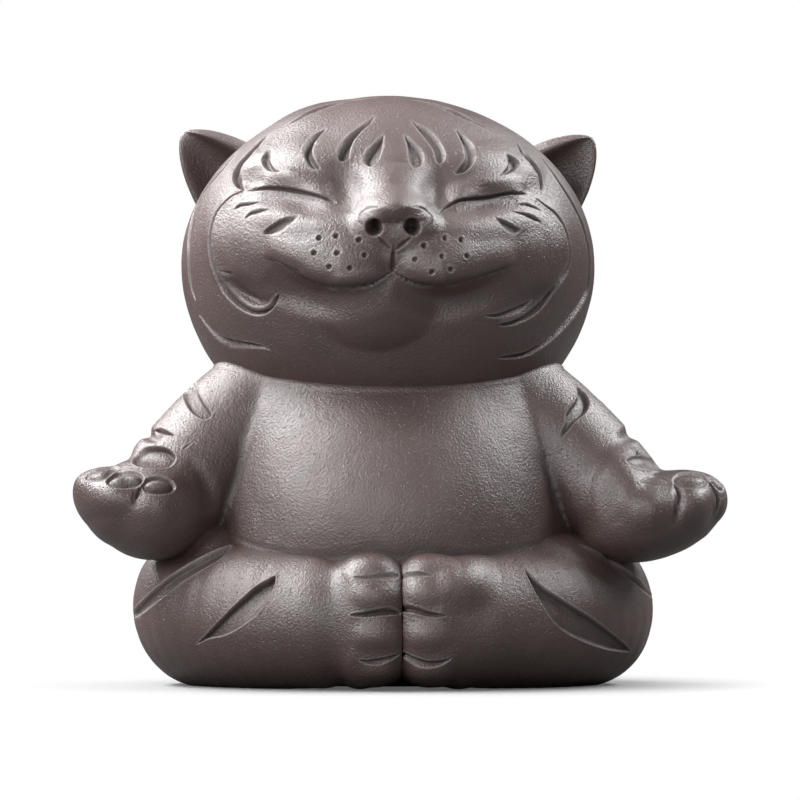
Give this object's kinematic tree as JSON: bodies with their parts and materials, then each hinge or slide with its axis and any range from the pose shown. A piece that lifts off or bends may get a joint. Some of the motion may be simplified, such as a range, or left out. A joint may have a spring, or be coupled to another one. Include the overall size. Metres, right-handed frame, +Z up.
{
  "type": "tiger tea pet",
  "caption": "Unglazed clay figure of a smiling tiger that sits cross-legged with its palms up, hollow head and body, flat base with a vent hole.",
  "frame": {"origin": "on the resting surface, under the middle of the figure's outline", "axes": "+Z up, -Y towards the viewer of the face, +X towards the animal's own left paw"},
  "size_m": [0.1002, 0.067, 0.09],
  "materials": {
    "clay": "satin",
    "unburnished_clay": "matte"
  },
  "bodies": {
    "root": {"face_shell": "clay", "head_back_shell": "clay", "left_ear": "clay", "right_ear": "clay", "belly_shell": "clay", "back_shell": "clay", "left_arm": "clay", "right_arm": "clay", "left_paw": "clay", "right_paw": "clay", "left_leg": "clay", "right_leg": "clay", "left_foot": "clay", "right_foot": "clay", "tail": "clay", "base_slab": "unburnished_clay"}
  },
  "joints": []
}
